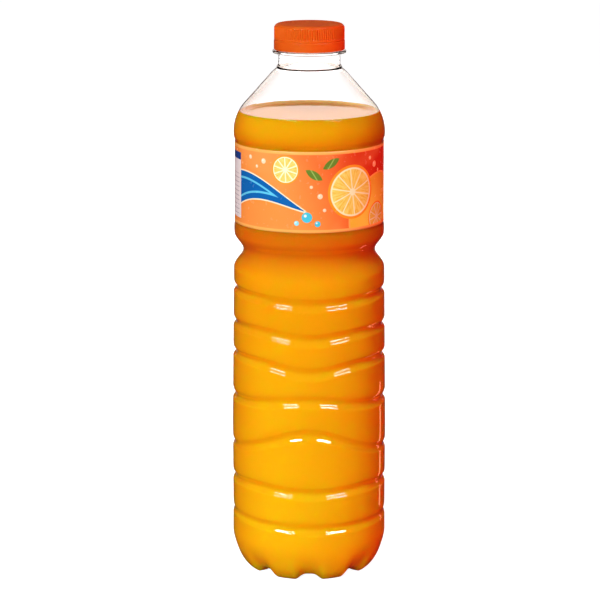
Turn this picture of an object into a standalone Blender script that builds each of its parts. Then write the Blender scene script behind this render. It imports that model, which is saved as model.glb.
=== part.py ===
"""Clear 1.5 litre plastic drink bottle, full of orange juice, with a screw cap
and a wrap-round label.

Metres, +Z up.  The origin is the middle of the circle that the feet stand on.
The front of the bottle faces -Y.

Pieces
  bottle  one blown shell: neck finish, support flange, cone, shoulder, label
          panel, waist, wavy ring grooves and a base of eight lobes
  juice   the drink, a solid up to its level, clear of the shell all round
  cap     knurled screw cap with its tamper band
  label   thin sleeve in the shallow panel of the bottle
"""

import bpy
import bmesh
from math import atan2, cos, sin, pi, radians, hypot

MM = 0.001

# ------------------------------------------------------------------ dimensions
# all in millimetres; heights are above the standing surface

SEGMENTS = 32                 # facets round the bottle
GAP = 0.30                    # clearance between neighbouring pieces
WALL = 0.45                   # wall of the blown body

# neck and flange
FINISH_TOP = 321.2            # mouth of the bottle
FINISH_R = 18.1               # thread land under the cap
FLANGE_TOP = 308.1
FLANGE_BOTTOM = 306.7
FLANGE_R = 21.2
NECK_R = 17.85
BORE_R = 16.2
BEAD_Z = 298.6                # small ring where the neck meets the cone
BEAD_R = 18.9

# cone and shoulder
CONE_TOP_Z = 295.4
CONE_TOP_R = 21.7
SHOULDER_R = 43.95            # largest radius above the label
SHOULDER_Z = 261.0            # height where the shoulder arc ends
SHOULDER_ARC = 24.5           # radius of that arc
CONE_SLOPE = radians(41.3)    # slope of the cone from the vertical

# label panel
PANEL_TOP = 256.5
PANEL_BOTTOM = 208.2
PANEL_TOP_LIP = 258.4
PANEL_BOTTOM_LIP = 206.6
LABEL_TOP = 255.6
LABEL_BOTTOM = 209.1
LABEL_WALL = 0.30
LABEL_TOP_R = 43.28           # outer radius of the label at its top edge
LABEL_BOTTOM_R = 43.42        # and at its bottom edge

# body radius at five heights, straight in between
BODY_STATIONS = ((206.6, 43.74), (181.0, 44.06), (88.0, 45.22), (42.0, 45.08),
                 (22.0, 45.25))

# waist groove under the label
WAIST_Z = 192.0
WAIST_DEPTH = 5.4
WAIST_HALF = 10.8

# ring grooves: height at the sides, depth, half width, and three terms of the
# wave that lifts the ring between its sides and its front and back:
#   broad swell, narrow crest at front and back, swell at the four diagonals
RINGS = {
    "B": dict(z=169.0, depth=1.9, half=5.2, broad=-1.1, crest=-1.0, diag=0.0),
    "C": dict(z=148.4, depth=1.7, half=5.2, broad=0.0, crest=-2.1, diag=0.7),
    "D": dict(z=130.2, depth=2.1, half=5.0, broad=0.0, crest=-3.5, diag=0.6),
    "E": dict(z=104.4, depth=2.2, half=4.8, broad=3.6, crest=2.4, diag=0.0),
    "F": dict(z=75.3, depth=1.4, half=4.4, broad=9.2, crest=6.0, diag=0.0),
    "G": dict(z=54.8, depth=2.1, half=4.6, broad=0.0, crest=0.0, diag=1.5),
    "H": dict(z=34.6, depth=0.9, half=3.2, broad=-1.2, crest=0.0, diag=0.0),
}

# base
BASE_Z = 22.0                 # height where the side wall starts to turn in
BASE_SQUASH = 1.60            # exponent of the corner curve
FOOT_OUT = 34.0               # outer and inner radius of the flat feet
FOOT_IN = 29.5
DOME_R = 15.0                 # flat middle of the pushed-up base
DOME_Z = 5.0
LOBES = 8
VALLEY_UP = 3.4               # how far a valley between two feet rises
VALLEY_IN = 0.8               # and how far it is drawn in
LOBE_TOP = 21.0               # height where the lobes have faded out

# drink
LIQUID_Z = 272.6

# cap
CAP_TOP = 323.5
CAP_BOTTOM = 308.4
CAP_R = 20.30                 # over the knurls
KNURL_DEPTH = 0.45
CAP_FACE_R = 17.9             # flat top face
CAP_SHOULDER_R = 19.45        # middle of the rounded top edge
CAP_SHOULDER_Z = 322.7
KNURL_TOP = 320.9
KNURL_BOTTOM = 314.2
BAND_TOP = 313.5              # smooth tamper band under the knurls
BAND_R = 20.15
CAP_IN_R = 18.9
CAP_IN_TOP = 321.5


# ------------------------------------------------------------------- functions

def lerp_stations(z, stations):
    """Radius at height z from (height, radius) stations given top down."""
    if z >= stations[0][0]:
        return stations[0][1]
    for (z1, r1), (z0, r0) in zip(stations, stations[1:]):
        if z >= z0:
            return r0 + (r1 - r0) * (z - z0) / (z1 - z0)
    return stations[-1][1]


def bump(t):
    """Smooth bump, 1 at t = 0 and 0 from |t| = 1 on."""
    return 0.5 + 0.5 * cos(pi * t) if abs(t) < 1.0 else 0.0


def smooth(t):
    t = min(1.0, max(0.0, t))
    return t * t * (3.0 - 2.0 * t)


def body_radius(z):
    """Outer radius of the ringed body at height z, before the waves."""
    r = lerp_stations(z, BODY_STATIONS)
    r -= WAIST_DEPTH * bump((z - WAIST_Z) / WAIST_HALF)
    for ring in RINGS.values():
        r -= ring["depth"] * bump((z - ring["z"]) / ring["half"])
    return r


def ring_lift(ring, phi):
    """How far a ring is lifted at the angle phi from the front."""
    c2 = cos(phi) ** 2
    return (ring["broad"] * c2
            + ring["crest"] * c2 ** (3 if ring["crest"] > 0 else 5)
            + ring["diag"] * sin(2.0 * phi) ** 2)


def wave(z, phi):
    """Lift of the wall at height z: that of a ring within the ring, and a
    smooth change from one ring to the next."""
    knots = [(WAIST_Z - WAIST_HALF, WAIST_Z + WAIST_HALF, 0.0)]
    for ring in RINGS.values():
        knots.append((ring["z"] - ring["half"], ring["z"] + ring["half"],
                      ring_lift(ring, phi)))
    knots.append((LOBE_TOP - 1.0, LOBE_TOP + 1.0, 0.0))
    if z >= knots[0][0]:
        return 0.0
    if z <= knots[-1][1]:
        return 0.0
    for upper, lower in zip(knots, knots[1:]):
        if z >= upper[0]:
            return upper[2]
        if z > lower[1]:
            t = smooth((z - lower[1]) / (upper[0] - lower[1]))
            return lower[2] + (upper[2] - lower[2]) * t
        if z >= lower[0]:
            return lower[2]
    return 0.0


def valley(phi):
    """1 in the valley between two feet, 0 over the width of a foot."""
    v = 0.5 + 0.5 * cos(LOBES * phi)
    return max(0.0, (v - 0.5) / 0.5)


def lobe_weight(r, z):
    """Strength of the lobes: full at the feet, none at the side wall above
    them and none in the middle of the base."""
    if z >= LOBE_TOP:
        return 0.0
    return smooth(1.0 - z / LOBE_TOP) * smooth(r / FOOT_IN)


def sculpt(x, y, z):
    """Moves a point of the turned body on to the waved and lobed one."""
    r = hypot(x, y)
    if r < 1e-6:
        return x, y, z
    phi = atan2(x, -y)
    w = lobe_weight(r, z) * valley(phi)
    scale = (r - VALLEY_IN * w) / r
    return x * scale, y * scale, z + wave(z, phi) + VALLEY_UP * w


def shoulder_points(steps):
    """Arc from the side wall up to the cone, top first."""
    cx, cz = SHOULDER_R - SHOULDER_ARC, SHOULDER_Z
    pts = []
    for i in range(steps + 1):
        a = CONE_SLOPE * (1.0 - i / steps)
        pts.append((cx + SHOULDER_ARC * cos(a), cz + SHOULDER_ARC * sin(a)))
    return pts


def base_points(steps):
    """Corner curve from the side wall down to the outside of the feet."""
    wall_r = body_radius(BASE_Z)
    pts = []
    for i in range(1, steps + 1):
        t = pi / 2 * i / steps
        c, s = cos(t) ** (2 / BASE_SQUASH), sin(t) ** (2 / BASE_SQUASH)
        pts.append((FOOT_OUT + (wall_r - FOOT_OUT) * c, BASE_Z * (1.0 - s)))
    pts[-1] = (FOOT_OUT, 0.0)
    return pts


def outer_profile():
    """Outside of the blown body from under the neck to the middle of the
    base, as (radius, height) from the top down."""
    pts = [(CONE_TOP_R, CONE_TOP_Z)]
    pts += shoulder_points(3)
    pts += [(SHOULDER_R, PANEL_TOP_LIP),
            (LABEL_TOP_R - LABEL_WALL - GAP, PANEL_TOP),
            (LABEL_BOTTOM_R - LABEL_WALL - GAP, PANEL_BOTTOM),
            (BODY_STATIONS[0][1], PANEL_BOTTOM_LIP)]
    for t in (0.95, 0.45, 0.0, -0.45, -0.95):
        z = WAIST_Z + WAIST_HALF * t
        pts.append((body_radius(z), z))
    for ring in RINGS.values():
        for t in (0.9, 0.0, -0.9):
            z = ring["z"] + ring["half"] * t
            pts.append((body_radius(z), z))
    pts.append((body_radius(BASE_Z), BASE_Z))
    pts += base_points(4)
    pts += [(FOOT_IN, 0.0), (DOME_R, DOME_Z - 1.2), (0.0, DOME_Z)]
    return pts


def inset(points, distance):
    """The same profile moved into the bottle by a distance, measured square
    to the wall.  The last point stays on the axis."""
    out = []
    n = len(points)
    for i, (r, z) in enumerate(points):
        normals = []
        for a, b in ((i - 1, i), (i, i + 1)):
            if a < 0 or b >= n:
                continue
            dr, dz = points[b][0] - points[a][0], points[b][1] - points[a][1]
            length = hypot(dr, dz)
            normals.append((dz / length, -dr / length))
        nx = sum(v[0] for v in normals) / len(normals)
        nz = sum(v[1] for v in normals) / len(normals)
        size = hypot(nx, nz)
        nx, nz = nx / size, nz / size
        miter = distance / max(0.5, nx * normals[0][0] + nz * normals[0][1])
        if i == n - 1:
            out.append((0.0, z + distance))
        else:
            out.append((r + nx * miter, z + nz * miter))
    return out


def below(points, height):
    """The part of a profile under a height, starting exactly at it."""
    for i in range(len(points) - 1):
        (r1, z1), (r0, z0) = points[i], points[i + 1]
        if z1 > height >= z0:
            t = (height - z0) / (z1 - z0)
            return [(r0 + (r1 - r0) * t, height)] + points[i + 1:]
    raise ValueError("height is outside the profile")


def turned(name, profile, collection, segments):
    """Mesh object of a (radius, height) profile turned round the axis.  The
    profile goes down its outer side and ends on the axis at both ends, or it
    closes on itself."""
    closed = profile[0] == profile[-1]
    pts = profile[:-1] if closed else profile
    mesh = bpy.data.meshes.new(name + "_profile")
    edges = [(i, i + 1) for i in range(len(pts) - 1)]
    if closed:
        edges.append((len(pts) - 1, 0))
    mesh.from_pydata([(r * MM, 0.0, z * MM) for r, z in pts], edges, [])
    obj = bpy.data.objects.new(name + "_turning", mesh)
    collection.objects.link(obj)
    screw = obj.modifiers.new("Screw", "SCREW")
    screw.axis = "Z"
    screw.angle = 2 * pi
    screw.steps = segments
    screw.render_steps = segments
    screw.use_merge_vertices = True
    screw.merge_threshold = 0.00001
    screw.use_normal_calculate = False
    depsgraph = bpy.context.evaluated_depsgraph_get()
    solid = bpy.data.meshes.new_from_object(obj.evaluated_get(depsgraph))
    bpy.data.objects.remove(obj)
    bpy.data.meshes.remove(mesh)
    solid.name = name
    result = bpy.data.objects.new(name, solid)
    collection.objects.link(result)
    return result


def split_quads(obj):
    """Splits each four-sided facet from its upper left to its lower right
    corner, so that the walls of neighbouring pieces fold the same way."""
    bm = bmesh.new()
    bm.from_mesh(obj.data)
    for face in [f for f in bm.faces if len(f.verts) == 4]:
        middle = face.calc_center_median()
        ahead = atan2(middle.y, middle.x)
        left, right = [], []
        for vert in face.verts:
            turn = (atan2(vert.co.y, vert.co.x) - ahead + pi) % (2 * pi) - pi
            side = left if turn < 0 else right
            side.append((round(vert.co.z, 6), hypot(vert.co.x, vert.co.y), vert))
        if len(left) != 2 or len(right) != 2:
            continue
        upper = max(left, key=lambda v: v[:2])[2]
        lower = min(right, key=lambda v: v[:2])[2]
        bmesh.utils.face_split(face, upper, lower)
    bm.to_mesh(obj.data)
    bm.free()


def move_points(obj, rule):
    """Moves each vertex by a rule that works in millimetres."""
    for vertex in obj.data.vertices:
        x, y, z = (c / MM for c in vertex.co)
        vertex.co = [c * MM for c in rule(x, y, z)]
    obj.data.update()


def finish(obj, material, angle=35.0):
    obj.data.materials.clear()
    obj.data.materials.append(material)
    obj.data.shade_smooth()
    obj.data.set_sharp_from_angle(angle=radians(angle))


def principled(name, colour, roughness, metallic=0.0, transmission=0.0,
               ior=1.5, subsurface=0.0):
    material = bpy.data.materials.new(name)
    material.use_nodes = True
    shader = material.node_tree.nodes["Principled BSDF"]
    shader.inputs["Base Color"].default_value = (*colour, 1.0)
    shader.inputs["Roughness"].default_value = roughness
    shader.inputs["Metallic"].default_value = metallic
    shader.inputs["Transmission Weight"].default_value = transmission
    shader.inputs["IOR"].default_value = ior
    shader.inputs["Subsurface Weight"].default_value = subsurface
    material.diffuse_color = (*colour, 1.0 - 0.7 * transmission)
    return material


# ---------------------------------------------------------------------- pieces

def make_bottle(collection, material):
    outside = outer_profile()
    inside = inset(outside, WALL)
    # under the neck the inner wall runs straight into the bore
    profile = list(reversed(inside))
    profile += [(BORE_R, BEAD_Z + 0.6), (BORE_R, FINISH_TOP),
                (FINISH_R, FINISH_TOP), (FINISH_R, FLANGE_TOP),
                (FLANGE_R, FLANGE_TOP), (FLANGE_R, FLANGE_BOTTOM),
                (NECK_R, FLANGE_BOTTOM), (NECK_R, BEAD_Z + 0.9),
                (BEAD_R, BEAD_Z), (BEAD_R + 0.5, BEAD_Z - 1.1)]
    profile += outside
    bottle = turned("bottle", profile, collection, SEGMENTS)
    split_quads(bottle)
    move_points(bottle, sculpt)
    finish(bottle, material)
    return bottle


def make_juice(collection, material):
    side = below(inset(outer_profile(), WALL + GAP), LIQUID_Z)
    profile = [(0.0, LIQUID_Z)] + side
    juice = turned("juice", profile, collection, SEGMENTS)
    split_quads(juice)
    move_points(juice, sculpt)
    finish(juice, material)
    return juice


def make_cap(collection, material):
    profile = [(0.0, CAP_IN_TOP), (CAP_IN_R, CAP_IN_TOP),
               (CAP_IN_R, CAP_BOTTOM), (BAND_R, CAP_BOTTOM)]
    profile += [(BAND_R, BAND_TOP), (CAP_R, KNURL_BOTTOM), (CAP_R, KNURL_TOP),
                (CAP_SHOULDER_R, CAP_SHOULDER_Z), (CAP_FACE_R, CAP_TOP),
                (0.0, CAP_TOP)]
    # the outer side has to run from the top down
    profile.reverse()
    steps = 2 * SEGMENTS
    cap = turned("cap", profile, collection, steps)

    def knurl(x, y, z):
        """Every second line of the gripping side stands back."""
        r = hypot(x, y)
        if r < CAP_R - 0.01:
            return x, y, z
        index = round(atan2(y, x) / (2 * pi) * steps)
        scale = 1.0 if index % 2 == 0 else (CAP_R - KNURL_DEPTH) / CAP_R
        return x * scale, y * scale, z

    move_points(cap, knurl)
    finish(cap, material, 25.0)
    return cap


def make_label(collection, material):
    top, bottom = LABEL_TOP_R, LABEL_BOTTOM_R
    profile = [(top - LABEL_WALL, LABEL_TOP), (top, LABEL_TOP),
               (bottom, LABEL_BOTTOM), (bottom - LABEL_WALL, LABEL_BOTTOM),
               (top - LABEL_WALL, LABEL_TOP)]
    label = turned("label", profile, collection, SEGMENTS)
    finish(label, material)
    return label


def main():
    for old in list(bpy.data.objects):
        bpy.data.objects.remove(old, do_unlink=True)

    collection = bpy.data.collections.new("juice_bottle")
    bpy.context.scene.collection.children.link(collection)

    clear = principled("clear_plastic", (0.93, 0.95, 0.94), 0.06,
                       transmission=1.0, ior=1.57)
    drink = principled("orange_juice", (0.92, 0.34, 0.02), 0.35,
                       subsurface=0.4, ior=1.35)
    orange = principled("cap_plastic", (0.78, 0.10, 0.02), 0.38)
    print_film = principled("label_film", (0.80, 0.28, 0.08), 0.30)

    make_bottle(collection, clear)
    make_juice(collection, drink)
    make_cap(collection, orange)
    make_label(collection, print_film)


main()
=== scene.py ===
"""Looks of the juice bottle: clear blown bottle, cloudy orange drink, knurled
screw cap and printed wrap-round label, on a plain pale floor."""

from math import atan2, cos, hypot, pi, radians, sin, tan

import bpy
import numpy as np
from mathutils import Matrix, Vector


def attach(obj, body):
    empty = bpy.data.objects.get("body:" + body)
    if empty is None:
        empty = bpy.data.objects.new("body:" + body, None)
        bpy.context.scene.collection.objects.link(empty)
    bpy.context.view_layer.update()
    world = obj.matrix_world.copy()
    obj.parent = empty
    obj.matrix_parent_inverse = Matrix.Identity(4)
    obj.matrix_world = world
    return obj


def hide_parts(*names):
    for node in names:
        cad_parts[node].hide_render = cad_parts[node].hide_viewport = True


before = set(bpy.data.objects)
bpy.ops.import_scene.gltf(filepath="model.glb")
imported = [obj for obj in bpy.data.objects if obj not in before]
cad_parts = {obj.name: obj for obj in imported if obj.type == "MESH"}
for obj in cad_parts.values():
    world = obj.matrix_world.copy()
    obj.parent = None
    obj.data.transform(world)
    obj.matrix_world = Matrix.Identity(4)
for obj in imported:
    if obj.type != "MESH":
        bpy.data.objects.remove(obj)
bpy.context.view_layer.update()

MM = 0.001
BODY = "root"

# ---------------------------------------------------------------- dimensions
# millimetres, as in the construction

WALL = 0.45

FINISH_TOP, FINISH_R = 321.2, 18.1
FLANGE_TOP, FLANGE_BOTTOM, FLANGE_R = 308.1, 306.7, 21.2
NECK_R, BORE_R = 17.85, 16.7
BEAD_Z, BEAD_R = 298.6, 18.9

CONE_TOP_Z, CONE_TOP_R = 295.4, 21.7
SHOULDER_R, SHOULDER_Z, SHOULDER_ARC = 43.95, 261.0, 24.5
CONE_SLOPE = radians(41.3)

LABEL_TOP, LABEL_BOTTOM = 255.6, 209.1
LABEL_TOP_R, LABEL_BOTTOM_R = 43.28, 43.42

BODY_STATIONS = ((206.6, 43.74), (181.0, 44.06), (88.0, 45.22), (42.0, 45.08),
                 (22.0, 45.25))
WAIST_Z, WAIST_DEPTH, WAIST_HALF = 192.0, 5.4, 10.8

# rings: height and depth at the sides, half width of the level band, and the
# three terms of the wave
RINGS = (
    dict(z=169.0, depth=1.9, half=5.2, broad=-1.1, crest=-1.0, diag=0.0),
    dict(z=148.4, depth=1.7, half=5.2, broad=0.0, crest=-2.1, diag=0.7),
    dict(z=130.2, depth=2.1, half=5.0, broad=0.0, crest=-3.5, diag=0.6),
    dict(z=104.4, depth=2.2, half=4.8, broad=3.6, crest=2.4, diag=0.0),
    dict(z=75.3, depth=1.2, half=4.4, broad=9.2, crest=6.0, diag=0.0),
    dict(z=54.8, depth=2.1, half=4.6, broad=0.0, crest=0.0, diag=1.5),
    dict(z=34.6, depth=0.7, half=3.6, broad=-1.2, crest=0.0, diag=0.0),
)
FRONT_DEPTH = 2.35            # depth of every ring at the front and the back
RISE = 4.7                    # how far a groove reaches above its line
FALL_SIDE, FALL_FRONT = 2.7, 4.9     # and below it
SIDE_TILT = 0.65              # the rings stand this much higher at the left side

BASE_Z, BASE_SQUASH = 22.0, 1.60
FOOT_OUT, FOOT_IN = 34.0, 29.5
DOME_R, DOME_Z = 15.0, 5.0
LOBES, VALLEY_UP, VALLEY_IN, LOBE_TOP = 8, 3.4, 0.8, 21.0

LIQUID_Z = 271.6              # flat middle of the drink's surface
MENISCUS = 1.7                # how far the wet rim stands above it

CAP_TOP, CAP_BOTTOM = 323.5, 308.5
CAP_R, BAND_R = 20.30, 20.46
KNURLS, KNURL_DEPTH = 90, 0.50
KNURL_TOP, KNURL_BOTTOM = 322.0, 315.5
LEDGE_Z = 314.0


# ------------------------------------------------------------ shape functions

def smooth(t):
    t = np.clip(t, 0.0, 1.0)
    return t * t * (3.0 - 2.0 * t)


def bump(t):
    return np.where(np.abs(t) < 1.0, 0.5 + 0.5 * np.cos(pi * np.clip(t, -1, 1)), 0.0)


def body_radius(z):
    """Outer radius of the body without its grooves."""
    heights = [s[0] for s in reversed(BODY_STATIONS)]
    radii = [s[1] for s in reversed(BODY_STATIONS)]
    return float(np.interp(z, heights, radii))


def ring_cut(z, phi):
    """Depth of the waist and the rings at the height z: a slow slope above
    the line of a ring and a steep one below it."""
    c2 = np.cos(phi) ** 2
    reach = WAIST_HALF + (5.4 * c2 if z < WAIST_Z else 0.0)
    cut = WAIST_DEPTH * bump((z - WAIST_Z) / reach)
    for ring in RINGS:
        t = z - ring["z"]
        if abs(t) < 6.0:
            front = FALL_FRONT - (0.5 if ring["z"] < 60.0 else 0.0)
            reach = RISE if t > 0 else FALL_SIDE + (front - FALL_SIDE) * c2
            cut = cut + (ring["depth"] + (FRONT_DEPTH - ring["depth"]) * c2) * bump(t / reach)
    return cut


def ring_lift(ring, phi):
    c2 = np.cos(phi) ** 2
    return (ring["broad"] * c2
            + ring["crest"] * c2 ** (3 if ring["crest"] > 0 else 5)
            + ring["diag"] * np.sin(2.0 * phi) ** 2 - SIDE_TILT * np.sin(phi))


def wave(z, phi):
    """Lift of the wall at the height z, round the angles phi."""
    flat = np.zeros_like(phi)
    knots = [(WAIST_Z - WAIST_HALF, WAIST_Z + WAIST_HALF, flat)]
    for ring in RINGS:
        knots.append((ring["z"] - ring["half"], ring["z"] + ring["half"],
                      ring_lift(ring, phi)))
    knots.append((LOBE_TOP - 1.0, LOBE_TOP + 1.0, flat))
    if z >= knots[0][0] or z <= knots[-1][1]:
        return flat
    for upper, lower in zip(knots, knots[1:]):
        if z >= upper[0]:
            return upper[2]
        if z > lower[1]:
            t = float(smooth((z - lower[1]) / (upper[0] - lower[1])))
            return lower[2] + (upper[2] - lower[2]) * t
        if z >= lower[0]:
            return lower[2]
    return flat


def valley(phi):
    v = 0.5 + 0.5 * np.cos(LOBES * phi)
    return smooth((v - 0.30) / 0.70)


def sculpt(r, z, phi):
    """Places one ring of a turned body: radius and height round phi."""
    if r < 1e-6:
        return np.full_like(phi, r), np.full_like(phi, z)
    w = 0.0
    if z < LOBE_TOP:
        w = float(smooth(1.0 - z / LOBE_TOP) * smooth(r / FOOT_IN)) * valley(phi)
    rr = r - VALLEY_IN * w
    if 22.0 < z < 206.0:
        rr = rr - ring_cut(z, phi)
    return rr, z + wave(z, phi) + VALLEY_UP * w


def fillet(points, steps=6):
    """Polyline of (r, z, radius) corners with its corners rounded."""
    out = []
    for i, (r, z, rad) in enumerate(points):
        if rad <= 0 or i in (0, len(points) - 1):
            out.append((r, z))
            continue
        p = np.array((r, z))
        a = np.array(points[i - 1][:2]) - p
        b = np.array(points[i + 1][:2]) - p
        la, lb = np.linalg.norm(a), np.linalg.norm(b)
        a, b = a / la, b / lb
        cut = min(rad, 0.48 * la, 0.48 * lb)
        for k in range(steps + 1):
            t = k / steps
            q = (1 - t) ** 2 * (p + a * cut) + 2 * t * (1 - t) * p + t * t * (p + b * cut)
            out.append((float(q[0]), float(q[1])))
    return out


def refine(points, gap):
    """Adds points so that no two are further apart than the gap."""
    out = [points[0]]
    for a, b in zip(points, points[1:]):
        n = max(1, int(np.ceil(hypot(b[0] - a[0], b[1] - a[1]) / gap)))
        for k in range(1, n + 1):
            out.append((a[0] + (b[0] - a[0]) * k / n, a[1] + (b[1] - a[1]) * k / n))
    return out


def panel_radius(z):
    """Wall under the label."""
    t = (z - LABEL_BOTTOM) / (LABEL_TOP - LABEL_BOTTOM)
    return LABEL_BOTTOM_R + (LABEL_TOP_R - LABEL_BOTTOM_R) * t - 0.17


def body_outside():
    """Outside of the blown body from the top of the cone to the axis."""
    pts = [(CONE_TOP_R, CONE_TOP_Z)]
    cx, n = SHOULDER_R - SHOULDER_ARC, 26
    arc = [(cx + SHOULDER_ARC * cos(CONE_SLOPE * (1 - i / n)),
            SHOULDER_Z + SHOULDER_ARC * sin(CONE_SLOPE * (1 - i / n)))
           for i in range(n + 1)]
    pts = refine([pts[0], arc[0]], 2.2) + arc[1:]
    # shallow S into the label panel and out of it
    for i in range(1, 13):
        t = i / 12
        z = 259.4 - 3.2 * t
        pts.append((SHOULDER_R - 0.05 + (panel_radius(z) - SHOULDER_R + 0.05)
                    * float(smooth(t)), z))
    for z in np.linspace(254.0, 210.6, 14):
        pts.append((panel_radius(z), float(z)))
    for i in range(11):
        t = i / 10
        z = 208.9 - 2.6 * t
        pts.append((panel_radius(z) + (BODY_STATIONS[0][1] - panel_radius(z))
                    * float(smooth(t)), z))
    z = 205.9
    while z > BASE_Z + 0.3:
        pts.append((body_radius(z), z))
        near = min([(z - g["z"]) / RISE if z > g["z"] else (g["z"] - z) / FALL_FRONT
                    for g in RINGS])
        if near < 1.06:
            z -= 0.42
        elif -16.2 < z - WAIST_Z < WAIST_HALF:
            z -= 0.8
        else:
            z -= 2.2
    pts.append((body_radius(BASE_Z), BASE_Z))
    n = 22
    for i in range(1, n + 1):
        t = pi / 2 * i / n
        c, s = cos(t) ** (2 / BASE_SQUASH), sin(t) ** (2 / BASE_SQUASH)
        if i == n:
            c, s = 0.0, 1.0
        pts.append((FOOT_OUT + (body_radius(BASE_Z) - FOOT_OUT) * c, BASE_Z * (1 - s)))
    pts += fillet([(FOOT_OUT - 0.6, 0.0, 0), (FOOT_IN, 0.0, 3.0),
                   (DOME_R, DOME_Z - 1.2, 8.0), (3.0, DOME_Z, 3.0), (0.0, DOME_Z, 0)], 7)
    return pts


def inset(points, distance):
    """The profile moved inwards, square to the wall."""
    p = np.array(points)
    d = np.gradient(p, axis=0)
    n = np.stack([d[:, 1], -d[:, 0]], 1)
    n /= np.linalg.norm(n, axis=1)[:, None]
    q = p + n * distance
    q[-1] = (0.0, p[-1][1] + distance)
    return [(float(r), float(z)) for r, z in q]


def revolve(name, profile, turns, place=None, at=None):
    """Mesh object of a (radius, height) profile turned round the axis.  The
    profile runs down its outer side; points on the axis become one vertex.
    place gives a ring's radii and heights from its radius and height."""
    phi = np.linspace(0, 2 * pi, turns, endpoint=False) if at is None else at
    verts, rings = [], []
    closed = (abs(profile[0][0] - profile[-1][0]) < 1e-9
              and abs(profile[0][1] - profile[-1][1]) < 1e-9)
    pts = profile[:-1] if closed else profile
    for r, z in pts:
        if r < 1e-6:
            rings.append([len(verts)])
            verts.append((0.0, 0.0, z * MM))
            continue
        rr, zz = place(r, z, phi) if place else (np.full_like(phi, r),
                                                 np.full_like(phi, z))
        base = len(verts)
        verts.extend(zip(rr * np.sin(phi) * MM, -rr * np.cos(phi) * MM, zz * MM))
        rings.append(list(range(base, base + turns)))
    faces = []
    order = list(range(len(rings))) + ([0] if closed else [])
    for a, b in zip(order, order[1:]):
        a, b = rings[a], rings[b]
        for j in range(turns):
            k = (j + 1) % turns
            if len(a) == 1:
                faces.append((a[0], b[j], b[k]))
            elif len(b) == 1:
                faces.append((a[j], b[0], a[k]))
            else:
                faces.append((a[j], b[j], b[k], a[k]))
    mesh = bpy.data.meshes.new(name)
    mesh.from_pydata([tuple(map(float, v)) for v in verts], [], faces)
    mesh.update()
    mesh.shade_smooth()
    obj = bpy.data.objects.new(name, mesh)
    bpy.context.scene.collection.objects.link(obj)
    return obj


# ------------------------------------------------------------- node functions

class Field:
    """A number over the surface, worked out by Math nodes."""

    def __init__(self, tree, out):
        self.tree, self.out = tree, out

    def op(self, name, *others, clamp=False):
        node = self.tree.nodes.new("ShaderNodeMath")
        node.operation = name
        node.use_clamp = clamp
        for i, v in enumerate((self,) + others):
            if isinstance(v, Field):
                self.tree.links.new(v.out, node.inputs[i])
            else:
                node.inputs[i].default_value = float(v)
        return Field(self.tree, node.outputs[0])

    def __add__(self, o):
        return self.op("ADD", o)

    __radd__ = __add__

    def __sub__(self, o):
        return self.op("SUBTRACT", o)

    def __rsub__(self, o):
        return (self * -1.0) + o

    def __mul__(self, o):
        return self.op("MULTIPLY", o)

    __rmul__ = __mul__

    def __truediv__(self, o):
        return self.op("DIVIDE", o)

    def ramp(self, low, high, to_low=0.0, to_high=1.0, kind="SMOOTHSTEP"):
        node = self.tree.nodes.new("ShaderNodeMapRange")
        node.interpolation_type = kind
        self.tree.links.new(self.out, node.inputs["Value"])
        node.inputs["From Min"].default_value = low
        node.inputs["From Max"].default_value = high
        node.inputs["To Min"].default_value = to_low
        node.inputs["To Max"].default_value = to_high
        return Field(self.tree, node.outputs["Result"])

    def over(self, edge, soft):
        """1 above the edge, 0 below it."""
        return self.ramp(edge - soft / 2, edge + soft / 2)

    def under(self, edge, soft):
        return self.ramp(edge - soft / 2, edge + soft / 2, 1.0, 0.0)


def new_material(name):
    material = bpy.data.materials.new(name)
    material.use_nodes = True
    tree = material.node_tree
    tree.nodes.clear()
    return material, tree


def node(tree, kind, **settings):
    n = tree.nodes.new(kind)
    for key, value in settings.items():
        setattr(n, key, value)
    return n


def place_field(tree):
    """Object coordinates in millimetres: x, y, z."""
    coords = node(tree, "ShaderNodeTexCoord")
    split = node(tree, "ShaderNodeSeparateXYZ")
    tree.links.new(coords.outputs["Object"], split.inputs[0])
    return [Field(tree, s) * 1000.0 for s in split.outputs], coords.outputs["Object"]


def noise_field(tree, vector, scale, detail=2.0, rough=0.5, stretch=None):
    if stretch:
        mapping = node(tree, "ShaderNodeMapping")
        mapping.inputs["Scale"].default_value = stretch
        tree.links.new(vector, mapping.inputs["Vector"])
        vector = mapping.outputs[0]
    n = node(tree, "ShaderNodeTexNoise")
    n.inputs["Scale"].default_value = scale
    n.inputs["Detail"].default_value = detail
    n.inputs["Roughness"].default_value = rough
    tree.links.new(vector, n.inputs["Vector"])
    return Field(tree, n.outputs["Fac"])


def mix_colour(tree, below, above, share):
    """Colour socket or triple mixed by a field."""
    n = node(tree, "ShaderNodeMix", data_type="RGBA")
    for value, socket in ((below, n.inputs[6]), (above, n.inputs[7])):
        if isinstance(value, (tuple, list)):
            socket.default_value = (*value, 1.0)
        else:
            tree.links.new(value, socket)
    if isinstance(share, Field):
        tree.links.new(share.out, n.inputs[0])
    else:
        n.inputs[0].default_value = share
    return n.outputs[2]


def bump_node(tree, height, distance, strength=1.0):
    n = node(tree, "ShaderNodeBump")
    n.inputs["Strength"].default_value = strength
    n.inputs["Distance"].default_value = distance
    tree.links.new(height.out, n.inputs["Height"])
    return n.outputs["Normal"]


def srgb(r, g, b):
    def one(c):
        c /= 255.0
        return c / 12.92 if c <= 0.04045 else ((c + 0.055) / 1.055) ** 2.4
    return (one(r), one(g), one(b))


# ------------------------------------------------------------------ materials

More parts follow.
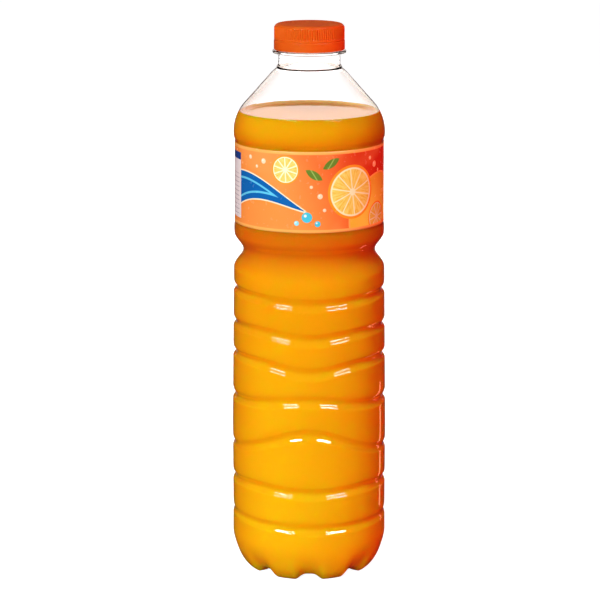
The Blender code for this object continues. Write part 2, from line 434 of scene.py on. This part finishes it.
def clear_plastic():
    material, tree = new_material("clear_plastic")
    out = node(tree, "ShaderNodeOutputMaterial")
    glass = node(tree, "ShaderNodeBsdfPrincipled")
    glass.inputs["Transmission Weight"].default_value = 1.0
    glass.inputs["IOR"].default_value = 1.57
    glass.inputs["Roughness"].default_value = 0.02
    (x, y, z), where = place_field(tree)
    # painted shade and reflection: below the drink's surface the wall's tint turns redder, then
    # dark, where it is seen edge on, for the drink's redder sides and the dark reflections along
    # the outlines
    edge = node(tree, "ShaderNodeLayerWeight")
    edge.inputs["Blend"].default_value = 0.5
    facing = Field(tree, edge.outputs["Facing"])
    full = z.under(LIQUID_Z, 6.0)
    tint_and_edge_shade = mix_colour(tree, (0.996, 0.998, 0.996), (0.95, 0.70, 0.62),
                      facing.ramp(0.22, 0.66) * full)
    # painted shade and reflection: dark along the outlines, below the drink's surface
    tint_and_edge_shade = mix_colour(tree, tint_and_edge_shade, (0.45, 0.38, 0.36), facing.ramp(0.74, 1.0) * full)
    tree.links.new(tint_and_edge_shade, glass.inputs["Base Color"])
    sheen = mix_colour(tree, (1.0, 1.0, 1.0), (0.03, 0.03, 0.03), z.over(259.0, 7.0))
    tree.links.new(sheen, glass.inputs["Specular Tint"])
    ripple = noise_field(tree, where, 55.0, 2.0, 0.5, (1.0, 1.0, 0.35))
    fine = noise_field(tree, where, 420.0, 1.0)
    tree.links.new(bump_node(tree, ripple + fine * 0.06, 0.0005, 0.22),
                   glass.inputs["Normal"])
    through = node(tree, "ShaderNodeBsdfTransparent")
    through.inputs["Color"].default_value = (0.93, 0.95, 0.94, 1.0)
    path = node(tree, "ShaderNodeLightPath")
    mix = node(tree, "ShaderNodeMixShader")
    tree.links.new(path.outputs["Is Shadow Ray"], mix.inputs[0])
    tree.links.new(glass.outputs[0], mix.inputs[1])
    tree.links.new(through.outputs[0], mix.inputs[2])
    tree.links.new(mix.outputs[0], out.inputs["Surface"])
    return material


def juice_material(name, surface):
    """The drink: its side, which the wall touches, or its free surface."""
    material, tree = new_material(name)
    out = node(tree, "ShaderNodeOutputMaterial")
    juice = node(tree, "ShaderNodeBsdfPrincipled")
    (x, y, z), where = place_field(tree)
    cloud = noise_field(tree, where, 26.0, 3.0, 0.55, (1.0, 1.0, 0.7))
    # painted shade: the drink is deeper in tone just under the label, which keeps the light out
    painted_label_shade = z.ramp(179.0, 197.0) * z.ramp(212.0, 222.0, 1.0, 0.0)
    pulp = noise_field(tree, where, 900.0, 2.0, 0.6)
    # the drink is paler and yellower low down
    base = mix_colour(tree, (0.72, 0.285, 0.002), (0.83, 0.480, 0.004),
                      z.ramp(285.0, 40.0, kind="LINEAR"))
    base = mix_colour(tree, base, (0.80, 0.48, 0.006), cloud.ramp(0.45, 0.75) * 0.22)
    base = mix_colour(tree, base, (0.82, 0.50, 0.010), pulp.ramp(0.62, 0.78) * 0.25)
    # painted shade under the label
    base = mix_colour(tree, base, (0.74, 0.165, 0.004), painted_label_shade * 0.85)
    # painted light: paler just under its surface, where light comes in from above
    base = mix_colour(tree, base, (0.77, 0.38, 0.005), z.ramp(256.0, 268.0) * 0.9)
    # painted shade: redder where the label keeps the light off it from behind
    base = mix_colour(tree, base, (0.88, 0.25, 0.003),
                      z.ramp(264.0, 256.5) * z.ramp(235.0, 245.0) * 0.8)
    # painted light: paler in the lobes of the base, where the pale floor shines into them
    base = mix_colour(tree, base, (1.0, 0.47, 0.005), z.ramp(34.0, 6.0) * 0.9)
    if surface:
        # thinner, so paler, where it climbs the wall
        climb = z.ramp(LIQUID_Z + 0.1, LIQUID_Z + 1.0)
        base = mix_colour(tree, (1.0, 0.36, 0.03), (1.0, 0.56, 0.16), climb)
    tree.links.new(base, juice.inputs["Base Color"])
    juice.inputs["Subsurface Weight"].default_value = 0.25 if surface else 1.0
    juice.inputs["Subsurface Radius"].default_value = (1.0, 0.036, 0.010)
    juice.inputs["Subsurface Scale"].default_value = 0.040
    juice.inputs["IOR"].default_value = 1.34
    juice.inputs["Roughness"].default_value = 0.06 if surface else 0.30
    juice.inputs["Specular IOR Level"].default_value = 0.5 if surface else 0.0
    tree.links.new(juice.outputs[0], out.inputs["Surface"])
    return material


def cap_material():
    material, tree = new_material("cap_plastic")
    out = node(tree, "ShaderNodeOutputMaterial")
    cap = node(tree, "ShaderNodeBsdfPrincipled")
    (x, y, z), where = place_field(tree)
    flow = noise_field(tree, where, 60.0, 3.0, 0.6)
    base = mix_colour(tree, (0.62, 0.079, 0.005), (0.66, 0.092, 0.006),
                      flow.ramp(0.35, 0.65))
    tree.links.new(base, cap.inputs["Base Color"])
    grain = noise_field(tree, where, 2200.0, 2.0, 0.6)
    # the flat top is duller than the skirt
    flat = z.over(CAP_TOP - 0.8, 0.5)
    tree.links.new((grain * 0.10 + flat * 0.60 + 0.20).out, cap.inputs["Roughness"])
    cap.inputs["IOR"].default_value = 1.49
    cap.inputs["Specular IOR Level"].default_value = 0.26
    cap.inputs["Subsurface Weight"].default_value = 0.25
    cap.inputs["Subsurface Radius"].default_value = (1.0, 0.25, 0.08)
    cap.inputs["Subsurface Scale"].default_value = 0.0012
    tree.links.new(bump_node(tree, grain + flow * 0.8, 0.00006, 0.35),
                   cap.inputs["Normal"])
    tree.links.new(cap.outputs[0], out.inputs["Surface"])
    return material


def label_material():
    """Printed film: a repeat of fruit wheels, leaves, drops and a blue sweep."""
    material, tree = new_material("label_film")
    out = node(tree, "ShaderNodeOutputMaterial")
    film = node(tree, "ShaderNodeBsdfPrincipled")
    (x, y, z), where = place_field(tree)
    around = x.op("ARCTAN2", y * -1.0) * 43.35           # arc from the front, mm
    half_turn = pi * 43.35
    u = (around + half_turn * 0.5).op("FLOORED_MODULO", half_turn) - half_turn * 0.5
    v = z - LABEL_BOTTOM                                  # height on the label
    tall = LABEL_TOP - LABEL_BOTTOM
    soft = 0.16

    # ground: warm orange, redder towards the upper right
    t = (u + v * 0.55).ramp(-8.0, 66.0)
    colour = mix_colour(tree, srgb(240, 138, 62), srgb(206, 52, 24), t)
    cloud = noise_field(tree, where, 38.0, 2.0)
    colour = mix_colour(tree, colour, srgb(250, 160, 90), cloud.ramp(0.5, 0.75) * 0.35)

    def disc(cu, cv, r):
        du, dv = u - cu, v - cv
        return (du * du + dv * dv).op("SQRT"), du, dv, r

    def paint(above, share):
        nonlocal colour
        colour = mix_colour(tree, colour, above, share)

    # golden round at the lower right
    gold, _, _, _ = disc(50.0, 5.0, 0)
    paint(srgb(246, 176, 84), gold.under(26.6, soft))
    paint(mix_colour(tree, srgb(240, 220, 80), srgb(228, 182, 56), gold.ramp(8.0, 26.0)),
          gold.under(25.6, soft))

    # blue sweep that tapers from the left edge
    mid = ((u + 66.0) * 0.055).op("SINE") * 9.0 + 15.5
    width = (u * -1.0 - 2.0).ramp(0.0, 62.0, 0.0, 12.5, "LINEAR")
    off = (v - mid).op("ABSOLUTE")
    inside = (width - off)
    paint(srgb(247, 226, 190), (inside + 0.75).over(0.0, soft) * u.under(-2.0, 2.0))
    paint(srgb(8, 92, 166), inside.over(0.0, soft) * u.under(-3.0, 1.0))
    paint(srgb(92, 190, 222), (inside - 3.2).over(0.0, soft)
          * (inside - 4.4).under(0.0, soft) * u.under(-18.0, 4.0))

    # leaves: where two circles overlap
    for cu, cv, side in ((2.6, 33.2, 1.0), (12.5, 39.5, -1.0)):
        a, _, _, _ = disc(cu - 3.2, cv - 5.2 * side, 0)
        b, _, _, _ = disc(cu + 3.2, cv + 5.2 * side, 0)
        leaf = a.under(8.3, soft) * b.under(8.3, soft)
        paint(srgb(96, 128, 44), leaf)
        vein = ((u - cu) * 0.85 * side - (v - cv) * -0.52).op("ABSOLUTE")
        paint(srgb(150, 176, 84), leaf * vein.under(0.32, soft))

    # fruit wheels
    def wheel(cu, cv, r, turn, pith, light, deep):
        d, du, dv, _ = disc(cu, cv, r)
        angle = dv.op("ARCTAN2", du) + turn
        paint(srgb(236, 150, 34), d.under(r, soft))
        paint(srgb(*pith), d.under(r * 0.905, soft))
        step = 2 * pi / 10
        part = angle.op("FLOORED_MODULO", step) - step / 2
        # each segment keeps clear of its neighbours and of the pith
        side = (part.op("ABSOLUTE") * -1.0 + step / 2) * d
        flesh = (d.under(r * 0.84, soft * 2) * side.over(0.34, soft)
                 * d.over(r * 0.13, soft))
        rays = noise_field(tree, combine(tree, angle * 9.0, d * 0.16, 0.0), 1.3, 3.0)
        pulp = mix_colour(tree, srgb(*light), srgb(*deep),
                          rays.ramp(0.35, 0.7))
        paint(pulp, flesh)

    wheel(26.0, 22.5, 15.5, 0.2, (238, 238, 190), (232, 218, 110), (220, 186, 58))
    wheel(-14.0, 36.0, 8.2, 0.9, (250, 236, 196), (244, 214, 118), (232, 178, 62))
    wheel(47.5, 5.5, 9.0, 0.5, (232, 240, 184), (230, 222, 104), (214, 188, 56))

    # drops
    for cu, cv, r, c in ((-1.5, 9.0, 3.0, (66, 186, 212)),
                         (4.6, 5.2, 1.7, (66, 186, 212)),
                         (-7.4, 5.6, 1.4, (140, 214, 226)),
                         (6.0, 21.0, 1.5, (250, 206, 168)),
                         (1.0, 26.4, 0.9, (250, 206, 168)),
                         (44.5, 36.5, 1.8, (250, 190, 140)),
                         (48.8, 32.6, 1.0, (250, 190, 140)),
                         (40.0, 40.6, 1.1, (250, 190, 140)),
                         (8.6, 13.0, 1.0, (250, 206, 168)),
                         (-28.0, 40.0, 1.5, (250, 206, 168)),
                         (-33.0, 36.6, 0.9, (250, 206, 168)),
                         (-38.4, 41.4, 1.2, (250, 206, 168))):
        d, _, _, _ = disc(cu, cv, r)
        paint(srgb(*c), d.under(r, soft))
        shine, _, _, _ = disc(cu - r * 0.3, cv + r * 0.3, r)
        paint(srgb(255, 246, 232), shine.under(r * 0.28, soft) * 0.7)

    # pale side panel with ruled lines
    panel = u.under(-49.0, soft) * v.over(4.2, soft) * v.under(tall - 4.2, soft)
    paint(srgb(232, 220, 222), panel)
    rule = (v.op("FLOORED_MODULO", 2.6) - 1.3).op("ABSOLUTE")
    paint(srgb(176, 164, 172), panel * rule.under(0.28, soft) * v.under(30.0, soft)
          * u.under(-51.5, soft) * 0.8)
    paint(srgb(28, 58, 128), panel * v.over(tall - 8.4, soft))

    # pale bands along the top and bottom edges
    edge = (v.under(1.75, soft) + v.over(tall - 1.75, soft)).op("MINIMUM", 1.0)
    paint(srgb(246, 168, 84), edge)

    tree.links.new(colour, film.inputs["Base Color"])
    film.inputs["IOR"].default_value = 1.5
    scuff = noise_field(tree, where, 300.0, 2.0)
    tree.links.new((scuff * 0.08 + 0.22).out, film.inputs["Roughness"])
    crease = noise_field(tree, where, 45.0, 2.0, 0.5, (1.0, 1.0, 0.25))
    tree.links.new(bump_node(tree, crease + scuff * 0.05, 0.0003, 0.25),
                   film.inputs["Normal"])
    tree.links.new(film.outputs[0], out.inputs["Surface"])
    return material


def combine(tree, a, b, c):
    n = node(tree, "ShaderNodeCombineXYZ")
    for value, socket in zip((a, b, c), n.inputs):
        if isinstance(value, Field):
            tree.links.new(value.out, socket)
        else:
            socket.default_value = value
    return n.outputs[0]


# --------------------------------------------------------------------- pieces

def give(obj, material, cad_node):
    obj.data.materials.append(material)
    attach(obj, BODY)
    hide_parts(cad_node)
    return obj


def make_bottle():
    outside = body_outside()
    inside = inset(outside[::2] + ([outside[-1]] if len(outside) % 2 == 0 else []), WALL)
    neck = fillet([
        (BORE_R, 302.4, 0), (BORE_R, FINISH_TOP, 0.5), (FINISH_R, FINISH_TOP, 0.5),
        (FINISH_R, FLANGE_TOP, 0.3), (FLANGE_R, FLANGE_TOP, 0.45),
        (FLANGE_R, FLANGE_BOTTOM, 0.45), (NECK_R - 0.1, FLANGE_BOTTOM, 0.6),
        (NECK_R + 0.08, BEAD_Z + 1.2, 0.5), (BEAD_R, BEAD_Z + 0.2, 0.5),
        (BEAD_R - 0.15, BEAD_Z - 0.7, 0.3), (BEAD_R + 0.9, BEAD_Z - 1.5, 0.8),
        (CONE_TOP_R, CONE_TOP_Z, 0)], 5)
    neck = refine(neck, 1.2)
    # inner wall: thick at the neck, drawn thin along the cone
    blend = fillet([(*inside[1], 0), (*inside[0], 1.6), (BORE_R, 299.5, 1.6),
                    (BORE_R, 301.6, 0)], 5)[1:]
    inside = inside[1:]
    profile = list(reversed(inside)) + blend + neck[:-1] + outside
    obj = revolve("bottle_shell", profile, 216, sculpt)
    return give(obj, clear_plastic(), "bottle")


def make_juice():
    side = inset(body_outside(), WALL - 0.20)
    top = LIQUID_Z + MENISCUS
    for i in range(len(side) - 1):
        (r1, z1), (r0, z0) = side[i], side[i + 1]
        if z1 > top >= z0:
            t = (top - z0) / (z1 - z0)
            side = [(r0 + (r1 - r0) * t, top)] + side[i + 1:]
            break
    rim = side[0][0]
    surface = [(0.0, LIQUID_Z)]
    for r in np.linspace(4.0, rim - 5.0, 8):
        surface.append((float(r), LIQUID_Z))
    for i in range(1, 15):
        t = i / 15
        r = rim - 5.0 + (5.0 - 0.25) * t
        surface.append((r, LIQUID_Z + MENISCUS * (np.exp(4.2 * t) - 1) / (np.exp(4.2) - 1)))
    surface.append((rim - 0.18, top - 0.12))
    obj = revolve("orange_juice", surface + side, 216, sculpt)
    give(obj, juice_material("orange_juice", False), "juice")
    obj.data.materials.append(juice_material("orange_juice_surface", True))
    for face in obj.data.polygons[:len(surface) * 216]:
        face.material_index = 1
    return obj


def make_cap():
    corners = [
        (0.0, CAP_TOP - 0.35, 0), (14.0, CAP_TOP - 0.30, 2.0), (16.6, CAP_TOP, 1.0),
        (18.9, CAP_TOP - 0.25, 1.6), (CAP_R - 0.1, CAP_TOP - 1.7, 1.2),
        (CAP_R, CAP_TOP - 3.0, 1.0),
        (CAP_R, KNURL_BOTTOM, 0.4), (CAP_R, LEDGE_Z + 0.4, 0.2),
        (CAP_R - 0.15, LEDGE_Z + 0.25, 0.08), (CAP_R - 0.15, LEDGE_Z + 0.02, 0.08),
        (BAND_R, LEDGE_Z - 0.30, 0.45),
        (BAND_R, CAP_BOTTOM + 0.1, 0.35), (BAND_R - 1.1, CAP_BOTTOM, 0.3),
        (18.9, CAP_BOTTOM + 0.9, 0.3), (18.9, 321.5, 0.3), (0.0, 321.5, 0)]
    profile = refine(fillet(corners, 6), 1.4)
    turns = KNURLS * 8
    bridges = 24

    def place(r, z, phi):
        rr = np.full_like(phi, r)
        if r > CAP_R - 1.0 and z > KNURL_BOTTOM - 0.6:
            reach = float(smooth((z - KNURL_BOTTOM + 0.5) / 0.7)
                          * smooth((KNURL_TOP + 0.4 - z) / 1.1))
            tooth = 0.5 - 0.5 * np.cos(KNURLS * phi)
            rr = rr - KNURL_DEPTH * reach * tooth ** 0.8
        if LEDGE_Z - 0.1 < z < LEDGE_Z + 0.35 and 19.5 < r < CAP_R - 0.1:
            lug = smooth((np.cos(bridges * phi) - 0.86) / 0.08)
            rr = rr + (CAP_R - 0.03 - rr) * lug
        return rr, np.full_like(phi, z)

    obj = revolve("screw_cap", profile, turns, place)
    return give(obj, cap_material(), "cap")


def make_label():
    n = 44
    rows = []
    for i in range(n + 1):
        t = i / n
        z = LABEL_TOP + (LABEL_BOTTOM - LABEL_TOP) * t
        r = LABEL_TOP_R + (LABEL_BOTTOM_R - LABEL_TOP_R) * t
        curl = 0.10 * (np.exp(-(t * n) / 1.1) + np.exp(-((1 - t) * n) / 1.1))
        rows.append((float(r + curl), z))
    thick = 0.11
    profile = [(rows[0][0] - thick, rows[0][1])] + rows
    profile += [(r - thick, z) for r, z in reversed(rows[1:-1])]
    profile = ([(rows[0][0] - thick, rows[0][1])] + rows
               + [(r - thick, z) for r, z in reversed(rows)])

    def place(r, z, phi):
        # lap of the film at the back left, and a little slack between
        lap = smooth((phi - 3.40) / 0.008) * smooth((3.62 - phi) / 0.25)
        slack = 0.02 * np.sin(5 * phi + 0.09 * z) * np.sin(0.21 * z + 2.0 * phi)
        return r + 0.09 * lap + slack, np.full_like(phi, z)

    obj = revolve("label_sleeve", profile, 480, place)
    return give(obj, label_material(), "label")


# ------------------------------------------------------------ floor and light

FLOOR_SEEN, FLOOR_THROUGH = 0.99, 1.15   # glow of the floor, bare and through the bottle


def make_floor():
    mesh = bpy.data.meshes.new("floor")
    s = 6.0
    mesh.from_pydata([(-s, -s, 0), (s, -s, 0), (s, s, 0), (-s, s, 0)], [], [(0, 1, 2, 3)])
    floor = bpy.data.objects.new("floor", mesh)
    bpy.context.scene.collection.objects.link(floor)
    material, tree = new_material("floor_white")
    out = node(tree, "ShaderNodeOutputMaterial")
    paint = node(tree, "ShaderNodeBsdfDiffuse")
    paint.inputs["Color"].default_value = (0.50, 0.50, 0.50, 1.0)
    glow = node(tree, "ShaderNodeEmission")
    glow.inputs["Color"].default_value = (1.0, 1.0, 1.0, 1.0)
    path = node(tree, "ShaderNodeLightPath")
    # glows only for the eye, straight or through the clear wall
    direct = 1.0 - Field(tree, path.outputs["Diffuse Depth"]).op("MINIMUM", 1.0)
    seen = (Field(tree, path.outputs["Is Camera Ray"]) * FLOOR_SEEN
            + Field(tree, path.outputs["Is Transmission Ray"]) * direct * FLOOR_THROUGH)
    tree.links.new(seen.out, glow.inputs["Strength"])
    both = node(tree, "ShaderNodeAddShader")
    tree.links.new(paint.outputs[0], both.inputs[0])
    tree.links.new(glow.outputs[0], both.inputs[1])
    tree.links.new(both.outputs[0], out.inputs["Surface"])
    mesh.materials.append(material)
    floor.location.z = -0.0002
    floor.visible_glossy = False


def area_light(name, azimuth, elevation, distance, size, energy, colour=(1, 1, 1),
               glossy=True, target=(0, 0, 0.16)):
    """Azimuth 0 is straight in front (-Y), positive to the right (+X)."""
    a, e = radians(azimuth), radians(elevation)
    towards = Vector((sin(a) * cos(e), -cos(a) * cos(e), sin(e)))
    return panel_light(name, towards, towards.cross((0, 0, 1)), distance, size,
                       energy, colour, glossy, target)


def strip_light(name, start, end, width, energy, distance=1.3):
    """Long softbox between two directions seen from the bottle; it stands in
    the steep side of the grooves, and shines for gloss only."""
    start, end = Vector(start).normalized(), Vector(end).normalized()
    obj = panel_light(name, (start + end).normalized(), end - start, distance,
                      ((end - start).length * distance, width), energy,
                      (1, 0.97, 0.84), True, (0, 0, 0.16))
    gloss_only(obj)
    return obj


def gloss_only(obj):
    """The light makes highlights and adds nothing to the lit sides."""
    obj.visible_diffuse = False
    obj.data.use_nodes = True
    tree = obj.data.node_tree
    tree.nodes.clear()
    out = node(tree, "ShaderNodeOutputLight")
    glow = node(tree, "ShaderNodeEmission")
    path = node(tree, "ShaderNodeLightPath")
    direct = 1.0 - Field(tree, path.outputs["Diffuse Depth"]).op("MINIMUM", 1.0)
    tree.links.new(direct.out, glow.inputs["Strength"])
    tree.links.new(glow.outputs[0], out.inputs["Surface"])


def panel_light(name, towards, along, distance, size, energy, colour, glossy, target):
    data = bpy.data.lights.new(name, "AREA")
    data.shape = "RECTANGLE"
    data.size, data.size_y = size
    data.energy = energy
    data.color = colour
    obj = bpy.data.objects.new(name, data)
    bpy.context.scene.collection.objects.link(obj)
    along = (along - towards * along.dot(towards)).normalized()
    across = towards.cross(along)
    obj.matrix_world = (Matrix.Translation(Vector(target) + towards * distance)
                        @ Matrix((along, across, towards)).transposed().to_4x4())
    obj.visible_glossy = glossy
    obj.visible_camera = False
    obj.visible_transmission = False
    return obj


def edge_light():
    """Narrow warm strip low beside the bottle; it draws a line of gloss down
    the lower right edge."""
    turn = radians(120)
    obj = panel_light("strip_edge", Vector((sin(turn), -cos(turn), 0)), Vector((0, 0, 1)),
                      0.15, (0.085, 0.011), 0.010, (1.0, 0.50, 0.22), True, (0, 0, 0.042))
    gloss_only(obj)


def make_world():
    world = bpy.data.worlds.new("studio")
    bpy.context.scene.world = world
    world.use_nodes = True
    tree = world.node_tree
    tree.nodes.clear()
    out = node(tree, "ShaderNodeOutputWorld")
    plain = node(tree, "ShaderNodeBackground")
    plain.inputs["Color"].default_value = (1.0, 1.0, 1.0, 1.0)
    plain.inputs["Strength"].default_value = 1.0
    studio = node(tree, "ShaderNodeBackground")
    studio.inputs["Color"].default_value = (1.0, 0.85, 0.77, 1.0)
    coords = node(tree, "ShaderNodeTexCoord")
    split = node(tree, "ShaderNodeSeparateXYZ")
    tree.links.new(coords.outputs["Generated"], split.inputs[0])
    x, y, z = (Field(tree, s) for s in split.outputs)
    # pale panel low above the horizon behind, dark room round the rest; the
    # clear wall shows the pale backdrop
    band = z.ramp(0.10, 0.135) * z.ramp(0.22, 0.32, 1.0, 0.0) * y.ramp(0.90, 0.975) * 1.2
    band = band + z.ramp(-0.45, -0.35) * z.ramp(-0.08, -0.02, 1.0, 0.0) * y.ramp(0.90, 0.96) * 0.18
    low = z.ramp(0.02, 0.08) * z.ramp(0.36, 0.46, 1.0, 0.0)
    behind = y.ramp(-0.1, 0.35, 0.3, 1.0) * (1.0 + low * 0.48)
    path = node(tree, "ShaderNodeLightPath")
    sharp = 1.0 - Field(tree, path.outputs["Diffuse Depth"]).op("MINIMUM", 1.0)
    through = Field(tree, path.outputs["Is Transmission Ray"])
    level = (sharp * (band * (1.0 - through) * 1.3 + behind * through * 1.03)
             + z.ramp(-0.3, 0.9, 0.015, 0.035))
    tree.links.new(level.out, studio.inputs["Strength"])
    mix = node(tree, "ShaderNodeMixShader")
    tree.links.new(path.outputs["Is Camera Ray"], mix.inputs[0])
    tree.links.new(studio.outputs[0], mix.inputs[1])
    tree.links.new(plain.outputs[0], mix.inputs[2])
    tree.links.new(mix.outputs[0], out.inputs["Surface"])


def make_camera():
    pitch, distance, focus_px = radians(12.5), 1.5, 2554.0
    centre = (-0.00537, 0.0, 0.16077)
    data = bpy.data.cameras.new("camera")
    data.sensor_width = 36.0
    data.lens = focus_px * 36.0 / 600.0
    data.clip_start, data.clip_end = 0.05, 50.0
    camera = bpy.data.objects.new("camera", data)
    bpy.context.scene.collection.objects.link(camera)
    camera.location = (centre[0], centre[1] - distance * cos(pitch),
                       centre[2] + distance * sin(pitch))
    camera.rotation_euler = (pi / 2 - pitch, 0.0, 0.0)
    bpy.context.scene.camera = camera


make_camera()
make_bottle()
make_juice()
make_cap()
make_label()
make_floor()
make_world()
strip_light("strip_left", (-0.28, -0.57, 0.77), (-0.61, -0.37, 0.70), 0.07, 5.2)
strip_light("strip_right", (0.32, -0.56, 0.76), (0.68, -0.30, 0.67), 0.10, 7.0)
edge_light()
area_light("key", -27, 17, 1.8, (0.7, 0.9), 33.0, (0.86, 1.0, 1.0),
           glossy=False)
area_light("top", -5, 60, 1.4, (0.5, 0.5), 6.5, glossy=False)
area_light("fill", 78, 3, 1.6, (1.1, 1.1), 30.0, (1.0, 0.024, 0.008), glossy=False,
           target=(0, 0, 0.13))
area_light("rim", 135, 15, 1.8, (0.7, 0.9), 9.5, (1.0, 0.40, 0.2), glossy=False)
area_light("left", -108, 5, 1.8, (0.9, 0.9), 8.0, (1.0, 0.03, 0.01), glossy=False)
area_light("back", 185, 15, 1.8, (0.9, 0.9), 19.0, glossy=False)

bpy.context.scene.view_settings.view_transform = "Standard"
